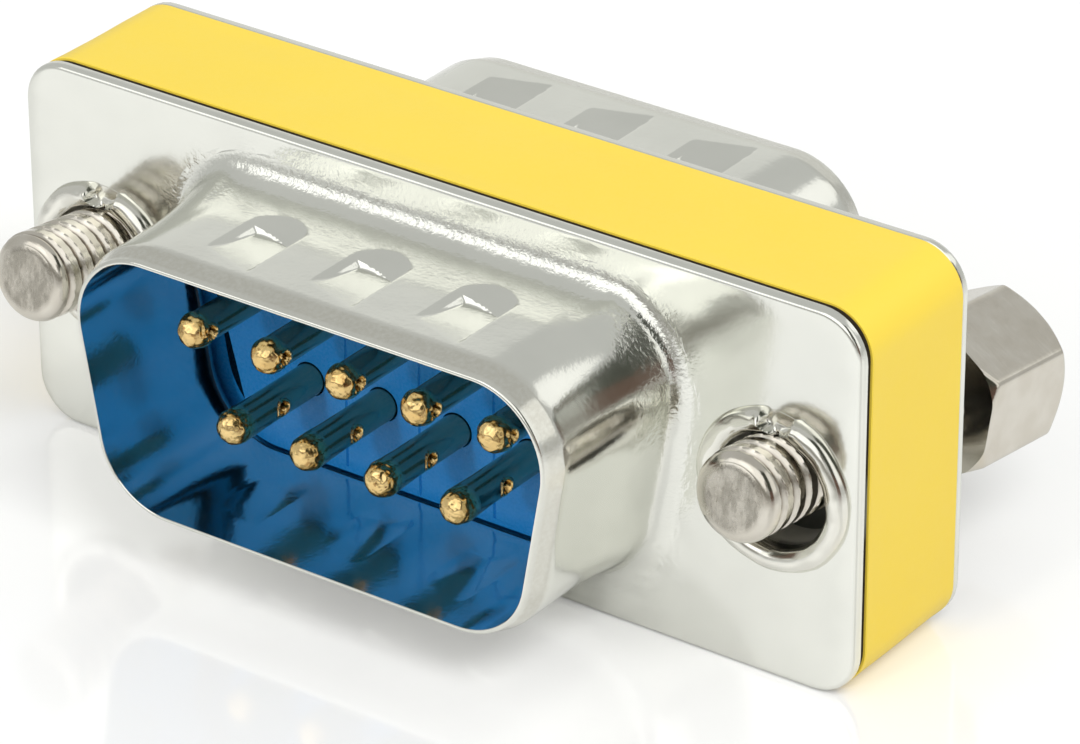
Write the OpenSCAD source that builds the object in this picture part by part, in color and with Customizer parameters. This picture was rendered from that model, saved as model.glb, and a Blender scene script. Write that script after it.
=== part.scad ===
// Slim nine-way plug to plug gender changer. X runs along the connector, Y from the front plug
// to the rear one and Z up. The origin is under the middle of the body, on the face it rests on.

/* [Body] */
// Height of the two metal flanges
flange_h = 12.55; // [12.3:0.05:14]
// Radius of the flange corners
flange_r = 1.5; // [0.8:0.1:3]
// Radius that stamping leaves along a flange's outer edge
flange_edge_r = 0.18; // [0.05:0.01:0.3]
// Thickness of the shell metal
sheet_t = 0.35; // [0.3:0.01:0.45]
// Distance over the outer faces of the two flanges
body_depth = 5.74; // [5.6:0.05:8]

/* [Plug shroud] */
// Distance from the end pins of the long row to the shroud's inside
side_room = 2.92; // [2.8:0.02:3.1]
// Inside height of the shroud
shroud_h = 8.3; // [8.1:0.05:8.6]
// Slope of the shroud's short sides, in degrees
shroud_slope = 10; // [8:0.5:12]
// Inside radius of the shroud corners
shroud_r = 2.4; // [2:0.1:2.8]
// How far the shroud stands out of its flange
shroud_reach = 5.95; // [5:0.05:7]
// Outside radius of the drawn root, where shroud and flange meet
root_r = 1.0; // [0.6:0.05:1.1]
// Radius on the outer edge of the shroud's mouth
mouth_r = 0.25; // [0.1:0.01:0.28]

/* [Spring dimples] */
// Number of dimples on each long side of the shroud
dimples = 3; // [1:1:3]
// Spacing of the dimples
dimple_pitch = 3.85; // [3:0.05:4.5]
// Width of a dimple along the shroud
dimple_w = 1.85; // [1:0.05:2.2]
// Length of a dimple, towards the mouth
dimple_l = 3.0; // [2:0.1:3.2]
// Length of its steep end, on the flange side
dimple_back = 1.0; // [0.5:0.1:1.5]
// Depth that is left at its shallow end, on the mouth side
dimple_step = 0.05; // [0.03:0.01:0.1]
// Radius of its two corners on the flange side
dimple_r = 0.6; // [0.2:0.05:0.65]
// Distance from the flange face to a dimple
dimple_from_flange = 1.7; // [1.5:0.1:2]
// Depth of a dimple
dimple_d = 0.22; // [0.1:0.01:0.25]
// Width of the metal round a dimple's sides, seen inside
dimple_side = 0.2; // [0.1:0.01:0.3]

/* [Spacer and label] */
// How far the spacer is set back in the groove behind the front flange
groove_depth = 0.35; // [0.2:0.05:0.5]
// Width of the groove behind the front flange
groove_w = 0.25; // [0.15:0.01:0.4]
// Thickness of the label band
label_t = 0.1; // [0.08:0.01:0.15]
// Spacer wall between the insulator's pocket and a ring's chamber
web_t = 0.635; // [0.5:0.005:1.5]
// Spacer wall between a ring's chamber and the end of the body
end_wall = 0.46; // [0.45:0.01:1.5]
// Gap between the ends of the band, underneath
label_seam = 0.3; // [0.1:0.05:0.6]
// Place of that gap along the connector
label_seam_x = -8; // [-11:0.5:11]

/* [Contacts] */
// Diameter of a contact pin
pin_d = 1.02; // [0.9:0.01:1.1]
// Spacing of the pins along a row
pin_pitch = 2.77; // [2.7:0.01:2.85]
// Distance between the two rows
row_gap = 2.84; // [2.7:0.01:3]
// How far a pin's tip stands out of the flange face
pin_reach = 4.6; // [3.5:0.05:5.2]
// Thickness along Y of the cross bar that joins a contact's two pins
bar_t = 0.8; // [0.5:0.05:1]
// Width along X of that cross bar
bar_w = 0.5; // [0.3:0.05:0.6]

/* [Insulators] */
// How far the insulator face stands out of the flange face
floor_rise = 0.4; // [0.1:0.05:0.6]
// How far the insulator's plug grows past the shroud's inside, into the drawn root
plug_grow = 0.08; // [0:0.01:0.1]
// How far the insulator's base grows past the shroud's inside
base_grow = 0.9; // [0.7:0.05:0.95]
// Clearance of a pin or cross bar in the insulator
pin_clear = 0.02; // [0.01:0.01:0.05]
// Clearance of the insulator's base in the spacer and behind the flange
base_clear = 0.05; // [0.02:0.01:0.08]

/* [Eyelets] */
// Play of the screw in an eyelet's bore, all round
screw_play = 0.43; // [0.38:0.01:0.5]
// Thickness of an eyelet's barrel
eyelet_t = 0.32; // [0.25:0.01:0.35]
// Width of an eyelet's rolled lip
lip_w = 0.775; // [0.65:0.005:0.85]
// Depth of an eyelet behind the flange face
eyelet_depth = 1.34; // [1.2:0.01:1.36]
// Clearance of the eyelet's barrel in its holes
eyelet_clear = 0.02; // [0.01:0.01:0.04]
// Direction of the split in the lip, in degrees from +X towards +Z
split_angle = 100; // [80:1:120]
// Opening of that split at the edge of the lip
split_w = 0.6; // [0.2:0.05:0.8]

/* [Jackscrews] */
// Major diameter of the screw thread
thread_d = 2.84; // [2.75:0.01:2.85]
// Play left between the drooping screw and the edges of its eyelets
droop_clear = 0.052; // [0.03:0.001:0.3]
// How far the tip stands out of the flange face with the screw pushed in
tip_reach = 3.73; // [2.5:0.05:6]
// Gap between the hex and the eyelet's lip with the screw pushed in
hex_clear = 0.045; // [0.03:0.005:0.2]
// How far the left screw is drawn back, as a share of its travel
left_drawn = 0; // [0:0.01:1]
// How far the right screw is drawn back, as a share of its travel
right_drawn = 0.79; // [0:0.01:1]
// Chamfer on the tip
tip_chamfer = 0.4; // [0.1:0.05:0.6]
// Width of the hex across its flats
hex_af = 4.76; // [4.5:0.01:5]
// Length of the hex
hex_l = 4.33; // [4:0.05:6]
// Chamfer on the hex at its open end
hex_chamfer = 0.42; // [0.1:0.01:0.6]
// Chamfer on the hex at its shank end
hex_front_chamfer = 0.25; // [0.1:0.01:0.4]
// Angle from +X up to an edge of the hex
hex_turn = 25.7; // [0:0.1:59]
// Minor diameter of the threaded hole in the hex
socket_d = 2.3; // [2.2:0.01:2.4]
// Depth of that threaded hole
socket_l = 3.6; // [3:0.05:3.8]
// Countersink at the mouth of the hole
socket_sink = 0.3; // [0.1:0.05:0.4]

/* [Retaining rings] */
// Diameter of the screw in the ring's groove
neck_d = 2.2; // [1.8:0.05:2.4]
// Thickness of the ring
ring_t = 0.5; // [0.3:0.05:0.6]
// How far the ring laps over the end of an eyelet, all round
ring_catch = 0.3; // [0.2:0.01:0.35]
// Radial and axial clearance of the ring in its groove
ring_clear = 0.05; // [0.03:0.01:0.08]
// Opening of the ring, in degrees
ring_gap = 60; // [40:5:90]
// Room round the ring in its chamber
ring_room = 0.3; // [0.25:0.01:0.4]
// Room between the ring and an eyelet at either end of the travel
stop_clear = 0.06; // [0.03:0.01:0.2]

/* [Hidden] */
$fn = 64;

nickel = "#c9c8c2";
steel = "#b4b0a6";
black = "#26231f";
yellow = "#f9dd52";
blue = "#1e6fc0";
gold = "#e0b45c";

eps = 0.01;
half_depth = body_depth / 2;
inner_face = half_depth - sheet_t;
mid_z = flange_h / 2;
root_grow = root_r + sheet_t;

// Across the connector: pins, shroud, screws and flange follow from one another.
eyelet_bore_d = thread_d + 2 * screw_play;
eyelet_d = eyelet_bore_d + 2 * eyelet_t;
eyelet_lip_d = eyelet_bore_d + 2 * lip_w;
ring_d = eyelet_bore_d + 2 * ring_catch;
chamber_d = ring_d + 2 * ring_room;
shroud_w = 4 * pin_pitch + 2 * side_room;
screw_x = shroud_w / 2 + base_grow + base_clear + web_t + chamber_d / 2;
flange_w = 2 * (screw_x + chamber_d / 2 + end_wall);

// The loose screws droop until they nearly touch the outer edges of their eyelets.
screw_droop = atan((screw_play - droop_clear) / half_depth);
hex_low_r = hex_af / sqrt(3) - hex_front_chamfer;
lip_h = lip_w / 2;
hex_stop = (half_depth + lip_h + hex_clear) / cos(screw_droop) + hex_low_r * tan(screw_droop);
shank_l = hex_stop + half_depth + tip_reach;
ring_half_l = ring_t / 2 * cos(screw_droop) + ring_d / 2 * sin(screw_droop);
float_travel = 2 * (half_depth - eyelet_depth - ring_half_l - stop_clear) / cos(screw_droop);

// The shroud's outline: each corner has a centre, the direction its arc starts in and its sweep.
slope_tan = tan(shroud_slope);
slope_sec = 1 / cos(shroud_slope);
shroud_top_x = shroud_w / 2 + shroud_r * (slope_tan + slope_sec - 1);
top_corner_x = shroud_top_x - shroud_r * (slope_tan + slope_sec);
low_corner_x = shroud_top_x - (shroud_h - shroud_r) * slope_tan - shroud_r * slope_sec;
corner_z = shroud_h / 2 - shroud_r;
shroud_loop = [
    [[top_corner_x, corner_z], -shroud_slope, 90 + shroud_slope],
    [[-top_corner_x, corner_z], 90, 90 + shroud_slope],
    [[-low_corner_x, -corner_z], 180 + shroud_slope, 90 - shroud_slope],
    [[low_corner_x, -corner_z], 270, 90 - shroud_slope]
];

// The flange's outline in the same form.
flange_corner_x = flange_w / 2 - flange_r;
flange_corner_z = flange_h / 2 - flange_r;
flange_loop = [
    [[flange_corner_x, flange_corner_z], 0, 90],
    [[-flange_corner_x, flange_corner_z], 90, 90],
    [[-flange_corner_x, -flange_corner_z], 180, 90],
    [[flange_corner_x, -flange_corner_z], 270, 90]
];

function arc_point(centre, r, a) = centre + r * [cos(a), sin(a)];

// Filled outline of a loop with corners of radius r.
module loop_area(loop, r) {
    polygon([for (c = loop) for (a = [c[1], c[1] + c[2]]) arc_point(c[0], r, a)]);
    for (c = loop)
        translate(c[0])
            circle(r);
}

// Sweeps a section round a loop. In the section X points out of the loop and Y along the loop's axis.
module sweep_loop(loop, r) {
    count = len(loop);
    for (i = [0 : count - 1]) {
        c = loop[i];
        next = loop[(i + 1) % count];
        end_a = c[1] + c[2];
        side_l = norm(next[0] - c[0]);
        translate(c[0])
            rotate([0, 0, c[1]])
                rotate_extrude(angle = c[2])
                    translate([r, 0])
                        children();
        translate(arc_point(c[0], r, end_a))
            rotate([0, 0, end_a])
                translate([0, side_l, 0])
                    rotate([90, 0, 0])
                        linear_extrude(side_l)
                            children();
    }
}

// Puts a half made with its mating side up on the front of the body, wide side of the shroud up.
module on_front() {
    translate([0, -half_depth, mid_z])
        rotate([90, 0, 0])
            children();
}

// The rear half is the front half turned over about X, so the rear plug has its narrow side up.
module on_rear() {
    translate([0, half_depth, mid_z])
        rotate([-90, 0, 0])
            children();
}

// Section of the drawn wall: the root's quarter bend, the wall and its rounded mouth.
module wall_section() {
    bend_r = root_r + sheet_t;
    translate([bend_r, root_r])
        intersection() {
            difference() {
                circle(bend_r);
                circle(root_r);
            }
            translate([-bend_r, -bend_r])
                square(bend_r);
        }
    translate([0, root_r])
        square([sheet_t, shroud_reach - root_r - mouth_r]);
    translate([0, root_r])
        square([sheet_t - mouth_r, shroud_reach - root_r]);
    translate([sheet_t - mouth_r, shroud_reach - mouth_r])
        intersection() {
            circle(mouth_r);
            square(mouth_r);
        }
}

// Section of the flange's rim, with the outer edge rounded.
module rim_section() {
    translate([0, -sheet_t])
        square([flange_edge_r, sheet_t - flange_edge_r]);
    translate([0, -flange_edge_r])
        intersection() {
            circle(flange_edge_r);
            square(flange_edge_r);
        }
}

// Side view of a dimple: steep on the flange side, then rising gently towards the mouth.
module dimple_section(d) {
    polygon([[0, eps], [0, 0], [dimple_back, -d], [dimple_l, -dimple_step], [dimple_l, eps]]);
}

// Outline of a dimple seen square on, rounded on the flange side.
module dimple_plan(width) {
    translate([-width / 2, dimple_r])
        square([width, dimple_l - dimple_r]);
    translate([dimple_r - width / 2, 0])
        square([width - 2 * dimple_r, dimple_r + eps]);
    for (side = [-1, 1])
        translate([side * (width / 2 - dimple_r), dimple_r])
            circle(dimple_r);
}

// One dimple, pressed into the face of a long side that looks up, towards +Y here.
module dimple(width, d) {
    intersection() {
        translate([width / 2, 0, 0])
            rotate([0, -90, 0])
                linear_extrude(width)
                    dimple_section(d);
        translate([0, 2 * eps, 0])
            rotate([90, 0, 0])
                linear_extrude(d + 4 * eps)
                    dimple_plan(width);
    }
}

// One row of dimples on the long side at the given height.
module dimple_row(height, width, d) {
    for (i = [0 : dimples - 1])
        translate([(i - (dimples - 1) / 2) * dimple_pitch, height, dimple_from_flange])
            dimple(width, d);
}

module both_long_sides() {
    children();
    mirror([0, 1, 0])
        children();
}

module at_screws() {
    for (side = [-1, 1])
        translate([side * screw_x, 0, 0])
            children();
}

// One stamped and drawn shell.
module shell() {
    color(nickel)
        difference() {
            union() {
                sweep_loop(shroud_loop, shroud_r)
                    wall_section();
                translate([0, 0, -sheet_t])
                    linear_extrude(sheet_t)
                        difference() {
                            loop_area(flange_loop, flange_r - flange_edge_r);
                            loop_area(shroud_loop, shroud_r + root_grow);
                        }
                sweep_loop(flange_loop, flange_r - flange_edge_r)
                    rim_section();
                both_long_sides()
                    dimple_row(shroud_h / 2, dimple_w + 2 * dimple_side, dimple_d);
            }
            both_long_sides()
                dimple_row(shroud_h / 2 + sheet_t, dimple_w, dimple_d);
            translate([0, 0, -sheet_t - eps])
                at_screws()
                    cylinder(d = eyelet_d + 2 * eyelet_clear, h = sheet_t + 2 * eps);
        }
}

// Rounded bar of the flange's outline, set in all round.
module flange_block(inset, from_z, to_z) {
    translate([0, 0, from_z])
        linear_extrude(to_z - from_z)
            loop_area(flange_loop, flange_r - inset);
}

// The moulded spacer between the shells. It is turned on its face here, front side up.
module spacer_frame() {
    color(black)
        on_front()
            difference() {
                union() {
                    flange_block(label_t, sheet_t - body_depth, -sheet_t - groove_w);
                    flange_block(groove_depth, -sheet_t - groove_w - eps, -sheet_t);
                }
                translate([0, 0, -half_depth - eps])
                    insulator_pocket();
                translate([0, 0, -half_depth + eps])
                    rotate([180, 0, 0])
                        insulator_pocket();
                translate([0, 0, -body_depth])
                    at_screws()
                        cylinder(d = eyelet_d + 2 * eyelet_clear, h = body_depth);
                translate([0, 0, -body_depth + eyelet_depth])
                    at_screws()
                        cylinder(d = chamber_d, h = body_depth - 2 * eyelet_depth);
            }
}

module insulator_pocket() {
    linear_extrude(half_depth)
        loop_area(shroud_loop, shroud_r + base_grow + base_clear);
}

// The band round the spacer, flush with the flanges, with its ends butted underneath.
module label_band() {
    color(yellow)
        on_front()
            difference() {
                flange_block(0, sheet_t - body_depth, -sheet_t - groove_w);
                flange_block(label_t, -body_depth, 0);
                translate([label_seam_x - label_seam / 2, -mid_z - eps, -body_depth])
                    cube([label_seam, 2 * label_t, body_depth]);
            }
}

// Places of the nine contacts: five on the wide side's row, then four on the narrow side's row.
function contact_x(n) = n <= 5 ? (n - 3) * pin_pitch : (n - 7.5) * pin_pitch;
function contact_row(n) = n <= 5 ? 1 : -1;

// One moulded insulator, bored for its pins and slotted at the back for half of each cross bar.
module insulator() {
    base_front = base_clear - sheet_t;
    bore_d = pin_d + 2 * pin_clear;
    slot_w = bar_w + 2 * pin_clear;
    slot_l = row_gap + bore_d;
    color(blue)
        difference() {
            union() {
                translate([0, 0, -half_depth])
                    linear_extrude(half_depth + base_front)
                        loop_area(shroud_loop, shroud_r + base_grow);
                translate([0, 0, base_front - eps])
                    linear_extrude(floor_rise - base_front + eps)
                        loop_area(shroud_loop, shroud_r + plug_grow);
            }
            for (n = [1 : 9]) {
                translate([contact_x(n), contact_row(n) * row_gap / 2, -half_depth - eps])
                    cylinder(d = bore_d, h = body_depth);
                translate([contact_x(n) - slot_w / 2, -slot_l / 2, -half_depth - eps])
                    cube([slot_w, slot_l, bar_t / 2 + pin_clear + eps]);
            }
        }
}

// One contact: a round nosed pin each way, joined by a cross bar in the middle of the body.
module contact(n) {
    color(gold) {
        on_front()
            contact_pin(n);
        on_rear()
            contact_pin(n);
        translate([contact_x(n) - bar_w / 2, -bar_t / 2, mid_z - row_gap / 2 - pin_d / 2])
            cube([bar_w, bar_t, row_gap + pin_d]);
    }
}

module contact_pin(n) {
    nose = pin_reach - pin_d / 2;
    translate([contact_x(n), contact_row(n) * row_gap / 2, 0]) {
        translate([0, 0, -half_depth])
            cylinder(d = pin_d, h = half_depth + nose);
        translate([0, 0, nose])
            sphere(d = pin_d);
    }
}

// One eyelet: a barrel through the flange into the spacer, with a rolled lip split at the top.
module eyelet(turn) {
    bore_r = eyelet_bore_d / 2;
    roll_r = lip_w / 2;
    color(nickel)
        difference() {
            rotate_extrude() {
                translate([bore_r, -eyelet_depth])
                    square([eyelet_d / 2 - bore_r, eyelet_depth]);
                translate([bore_r + roll_r, 0])
                    intersection() {
                        circle(roll_r);
                        translate([-roll_r, 0])
                            square([2 * roll_r, roll_r]);
                    }
            }
            rotate([0, 0, turn])
                linear_extrude(eyelet_lip_d)
                    polygon([[bore_r + roll_r / 2, 0], [eyelet_lip_d / 2, -split_w / 2],
                             [eyelet_lip_d, -split_w], [eyelet_lip_d, split_w], [eyelet_lip_d / 2, split_w / 2]]);
        }
}

module front_eyelet(side) {
    on_front()
        translate([side * screw_x, 0, 0])
            eyelet(split_angle);
}

module rear_eyelet(side) {
    on_rear()
        translate([side * screw_x, 0, 0])
            eyelet(-split_angle);
}

// Puts a turned part on a screw's drooping axis, with its own Z running to the rear from the
// middle of the body and its front end away from the hex.
module on_screw_axis(side) {
    translate([side * screw_x, 0, mid_z])
        rotate([-90 - screw_droop, 0, 0])
            children();
}

function hex_face(side) = hex_stop + float_travel * (side < 0 ? left_drawn : right_drawn);

// Middle of the ring's groove, ahead of the hex face: half way along the travel it is centred.
groove_ahead = hex_stop + float_travel / 2;

// One jackscrew, turned from hex bar: threaded shank with a groove for its ring, and a hex with
// a threaded hole in its end.
module jackscrew(side) {
    r = thread_d / 2;
    groove_half = ring_t / 2 + ring_clear;
    color(steel)
        on_screw_axis(side)
            translate([0, 0, hex_face(side)])
                difference() {
                    union() {
                        rotate_extrude()
                            polygon([[0, -shank_l], [r - tip_chamfer, -shank_l], [r, tip_chamfer - shank_l],
                                     [r, -groove_ahead - groove_half], [neck_d / 2, -groove_ahead - groove_half],
                                     [neck_d / 2, groove_half - groove_ahead], [r, groove_half - groove_ahead],
                                     [r, eps], [0, eps]]);
                        hex_head();
                    }
                    translate([0, 0, hex_l - socket_l])
                        cylinder(d = socket_d, h = socket_l + eps);
                    translate([0, 0, hex_l - socket_sink])
                        cylinder(d1 = socket_d, d2 = socket_d + 2 * socket_sink, h = socket_sink + eps);
                }
}

// The hex, turned down to a chamfer at both ends.
module hex_head() {
    corner_r = hex_af / sqrt(3);
    flat_r = hex_af / 2;
    intersection() {
        rotate([0, 0, -hex_turn])
            cylinder(r = corner_r, h = hex_l, $fn = 6);
        rotate_extrude()
            polygon([[0, 0], [corner_r - hex_front_chamfer, 0], [corner_r + eps, hex_front_chamfer],
                     [corner_r + eps, hex_l - hex_chamfer], [flat_r - eps, hex_l], [0, hex_l]]);
    }
}

// The split ring in the screw's groove. It slides with the screw between the two eyelets.
module retaining_ring(side) {
    color(steel)
        on_screw_axis(side)
            translate([0, 0, hex_face(side) - groove_ahead - ring_t / 2])
                rotate([0, 0, 90 + ring_gap / 2])
                    rotate_extrude(angle = 360 - ring_gap)
                        translate([neck_d / 2 + ring_clear, 0])
                            square([ring_d / 2 - neck_d / 2 - ring_clear, ring_t]);
}

on_front() shell();  // front_shell
on_rear() shell();  // rear_shell
spacer_frame();
label_band();
on_front() insulator();  // front_insulator
on_rear() insulator();  // rear_insulator
for (n = [1 : 9])
    contact(n);
front_eyelet(-1);  // front_left_eyelet
front_eyelet(1);  // front_right_eyelet
rear_eyelet(-1);  // rear_left_eyelet
rear_eyelet(1);  // rear_right_eyelet
retaining_ring(-1);  // left_retaining_ring
retaining_ring(1);  // right_retaining_ring
jackscrew(-1);  // left_jackscrew
jackscrew(1);  // right_jackscrew
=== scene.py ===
import math
import bpy
import bmesh
from mathutils import Matrix, Vector, geometry, noise

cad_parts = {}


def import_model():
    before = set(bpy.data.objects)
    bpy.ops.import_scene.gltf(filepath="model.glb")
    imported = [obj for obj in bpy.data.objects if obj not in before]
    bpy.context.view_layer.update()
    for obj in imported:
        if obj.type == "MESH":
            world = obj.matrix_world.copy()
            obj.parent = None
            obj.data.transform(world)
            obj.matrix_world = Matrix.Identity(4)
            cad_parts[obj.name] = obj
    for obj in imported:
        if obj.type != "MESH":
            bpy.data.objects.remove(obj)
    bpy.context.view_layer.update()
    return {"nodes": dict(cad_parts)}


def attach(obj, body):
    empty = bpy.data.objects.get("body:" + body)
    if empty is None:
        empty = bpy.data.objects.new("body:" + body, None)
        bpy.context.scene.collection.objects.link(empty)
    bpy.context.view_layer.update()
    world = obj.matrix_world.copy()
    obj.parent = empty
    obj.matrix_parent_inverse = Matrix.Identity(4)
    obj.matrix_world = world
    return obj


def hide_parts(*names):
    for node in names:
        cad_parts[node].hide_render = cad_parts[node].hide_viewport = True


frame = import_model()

# Sizes in millimetres, as the CAD has them.
MM = 0.001
HALF = 2.87                 # from the middle of the body to a flange's outer face
MID = 6.275                 # height of the connector's axis
FLANGE_W, FLANGE_H, FLANGE_R, RIM_R = 30.81, 12.55, 1.5, 0.18
SHEET, REACH, ROOT_R = 0.35, 5.95, 1.0
ROOT_GROW = ROOT_R + SHEET  # from the D's inside to the root's end on the flange
SCREW_X = 12.495
HOLE_R = 2.19
BARREL_R, EYELET_R, EYELET_DEPTH, LIP_W = 1.85, 2.17, 1.34, 0.775
PIN_PITCH, ROW = 2.77, 1.42
FLOOR_RISE = 0.4            # face of the insulator above the flange
SEAM_X, SEAM_W = -8, 0.3
DROOP = math.atan((0.43 - 0.052) / HALF)
HEX_STOP, SHANK, TRAVEL = 3.66005, 10.26005, 1.899049
THREAD_R, NECK_R, SOCKET_R, SOCKET_L = 1.42, 1.1, 1.15, 3.6
HEX_AF, HEX_L, HEX_TURN = 4.76, 4.33, 25.7
HEX_FRONT, HEX_CHAMFER = 0.25, 0.42
CORNER_R = HEX_AF / math.sqrt(3)

# Sizes of forms that only the scene has, or has otherwise.
LIP_FROM = 5.1              # height above the flange where the shroud's lip starts to thin
LIP_MID = 2.2375            # radius of the middle of an eyelet's rolled lip
PITCH, THREAD_DEEP = 0.635, 0.24
PIN_R, TIP_R, BORE_R = 0.53, 0.57, 0.57
HOLE_STEPS = 96


def front(x, y, h):
    """Place of a point of the front plug: x along the connector, y up from its axis, h out of its flange."""
    return (x, -HALF - h, MID + y)


def rear(x, y, h):
    """The same for the rear plug, which is turned over about X."""
    return (x, HALF + h, MID - y)


# ---------------------------------------------------------------- small helpers

def smooth(a, b, x):
    """0 up to a, 1 from b on, and an even curve between; b may lie below a."""
    t = min(1.0, max(0.0, (x - a) / (b - a)))
    return t * t * (3 - 2 * t)


def soft_min(a, b, k):
    """The smaller of two values, rounded off where they are less than k apart."""
    h = max(k - abs(a - b), 0.0) / k
    return min(a, b) - h * h * k * 0.25


def piece(name, verts, faces, mat, body, nodes, place, angle, drawn=None, worn_and_lit=None, merge=True):
    """A mesh piece from points in millimetres, riding on a body in place of its nodes. Its material can read
    two values at each point: how worn, which on a pin marks the tip and the pit's rim that are left out of the
    painted shade on its shank, and how drawn, which is drawn metal on a shell and painted shade in a thread's
    grooves, a pin's pit and the gap round an insulator's plug."""
    pts = [place(*v) if place else v for v in verts]
    mesh = bpy.data.meshes.new(name)
    mesh.from_pydata([tuple(c * MM for c in p) for p in pts], [], faces)
    for attribute_name, values in (("drawn", drawn), ("worn_and_lit", worn_and_lit)):
        if values is not None:
            layer = mesh.attributes.new(attribute_name, "FLOAT", "POINT")
            for i, v in enumerate(values):
                layer.data[i].value = v
    bm = bmesh.new()
    bm.from_mesh(mesh)
    if merge:
        bmesh.ops.remove_doubles(bm, verts=bm.verts, dist=0.0004 * MM)
    bmesh.ops.dissolve_degenerate(bm, edges=bm.edges, dist=1e-8)
    bmesh.ops.recalc_face_normals(bm, faces=bm.faces)
    bm.to_mesh(mesh)
    bm.free()
    mesh.shade_smooth()
    mesh.set_sharp_from_angle(angle=math.radians(angle))
    obj = bpy.data.objects.new(name, mesh)
    bpy.context.scene.collection.objects.link(obj)
    mesh.materials.append(mat)
    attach(obj, body)
    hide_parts(*nodes)


def strip(faces, a, b, n, closed=True):
    """Quads between two rows of n points that start at a and b."""
    for i in range(n if closed else n - 1):
        j = (i + 1) % n
        faces.append((a + i, a + j, b + j, b + i))


def strips(faces, base, rows, n, closed=True):
    """Quads through a number of rows of n points, the first of which starts at base."""
    for i in range(rows - 1):
        strip(faces, base + i * n, base + (i + 1) * n, n, closed)


# ---------------------------------------------------------------- materials

def material(name, metal=False):
    """A new material with its node tree and its main shader."""
    m = bpy.data.materials.new(name)
    m.use_nodes = True
    t = m.node_tree
    p = t.nodes["Principled BSDF"]
    if metal:
        p.inputs["Metallic"].default_value = 1.0
    return m, t, p


def node(t, kind, **values):
    """A new node with values for its sockets or, where it has no such socket, its properties."""
    n = t.nodes.new(kind)
    for k, v in values.items():
        if k in n.inputs:
            n.inputs[k].default_value = v
        else:
            setattr(n, k, v)
    return n


def coords(t):
    return node(t, "ShaderNodeTexCoord").outputs["Object"]


def attribute(t, name):
    return node(t, "ShaderNodeAttribute", attribute_name=name).outputs["Fac"]


def noise_of(t, where, size_mm, detail=2.0, rough=0.5, stretch=None):
    """Noise with features of about size_mm."""
    if stretch:
        m = node(t, "ShaderNodeMapping")
        m.inputs["Scale"].default_value = stretch
        t.links.new(where, m.inputs["Vector"])
        where = m.outputs["Vector"]
    n = node(t, "ShaderNodeTexNoise", Scale=1000.0 / size_mm, Detail=detail, Roughness=rough)
    t.links.new(where, n.inputs["Vector"])
    return n.outputs["Fac"]


def remap(t, value, lo, hi, out_lo, out_hi, soft=False):
    """A value taken from lo..hi to out_lo..out_hi, with eased ends where soft."""
    n = node(t, "ShaderNodeMapRange")
    if soft:
        n.interpolation_type = "SMOOTHSTEP"
    for k, v in (("From Min", lo), ("From Max", hi), ("To Min", out_lo), ("To Max", out_hi)):
        n.inputs[k].default_value = v
    t.links.new(value, n.inputs["Value"])
    return n.outputs["Result"]


def math_of(t, op, *values):
    n = node(t, "ShaderNodeMath", operation=op)
    for i, v in enumerate(values):
        if isinstance(v, (int, float)):
            n.inputs[i].default_value = v
        else:
            t.links.new(v, n.inputs[i])
    return n.outputs[0]


def times(t, a, b):
    return math_of(t, "MULTIPLY", a, b)


def mix_colour(t, fac, a, b):
    n = node(t, "ShaderNodeMix", data_type="RGBA")
    for i, v in ((6, a), (7, b)):
        if isinstance(v, tuple):
            n.inputs[i].default_value = v + (1.0,)
        else:
            t.links.new(v, n.inputs[i])
    t.links.new(fac, n.inputs[0])
    return n.outputs[2]


def clouded(t, where, size_mm, detail, contrast, a, b):
    """Two close colours in clouds of about size_mm; a higher contrast leaves a narrower blend."""
    cloud = noise_of(t, where, size_mm, detail)
    return mix_colour(t, remap(t, cloud, contrast, 1 - contrast, 0, 1), a, b)


def bump(t, height, distance_mm, after=None):
    """A normal roughened by a height, on top of another normal if there is one."""
    n = node(t, "ShaderNodeBump", Strength=1.0, Distance=distance_mm * MM)
    t.links.new(height, n.inputs["Height"])
    if after is not None:
        t.links.new(after, n.inputs["Normal"])
    return n.outputs["Normal"]


def shell_metal():
    """Bright nickel plate: mirror like where flat, orange peel where drawn, darker and greyer along the worn
    mouth.
    """
    m, t, p = material("shell_nickel", metal=True)
    o = coords(t)
    drawn = attribute(t, "drawn")
    grain = noise_of(t, o, 0.15, 2.0, 0.6)
    peel = noise_of(t, o, 0.40, 2.0, 0.55)
    tint = (0.85, 0.855, 0.80)
    colour = clouded(t, o, 2.5, 3.0, 0.3, tint, tuple(c * 0.94 for c in tint))
    worn_and_lit = times(t, attribute(t, "worn_and_lit"), remap(t, grain, 0.3, 0.6, 0.55, 1.0))
    t.links.new(mix_colour(t, worn_and_lit, colour, (0.70, 0.69, 0.625)), p.inputs["Base Color"])
    rough = math_of(t, "MULTIPLY_ADD", drawn, 0.06, 0.10)
    t.links.new(math_of(t, "MULTIPLY_ADD", grain, 0.06, rough), p.inputs["Roughness"])
    b = bump(t, noise_of(t, o, 2.2, 1.0), 0.019)
    b = bump(t, times(t, peel, math_of(t, "ADD", drawn, 0.12)), 0.012, after=b)
    b = bump(t, times(t, grain, math_of(t, "ADD", drawn, 0.06)), 0.017, after=b)
    t.links.new(b, p.inputs["Normal"])
    return m


def eyelet_metal():
    """Nickel plate, bright on the rolled lip and matt in the barrel."""
    m, t, p = material("eyelet_nickel", metal=True)
    o = coords(t)
    grain = noise_of(t, o, 0.15, 2.0, 0.6)
    tint = (0.83, 0.82, 0.755)
    t.links.new(clouded(t, o, 2.5, 3.0, 0.3, tint, tuple(c * 0.94 for c in tint)), p.inputs["Base Color"])
    rough = math_of(t, "MULTIPLY_ADD", attribute(t, "worn_and_lit"), 0.5, 0.12)
    t.links.new(math_of(t, "MULTIPLY_ADD", grain, 0.06, rough), p.inputs["Roughness"])
    b = bump(t, noise_of(t, o, 2.2, 1.0), 0.010)
    t.links.new(bump(t, grain, 0.0008, after=b), p.inputs["Normal"])
    return m


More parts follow.
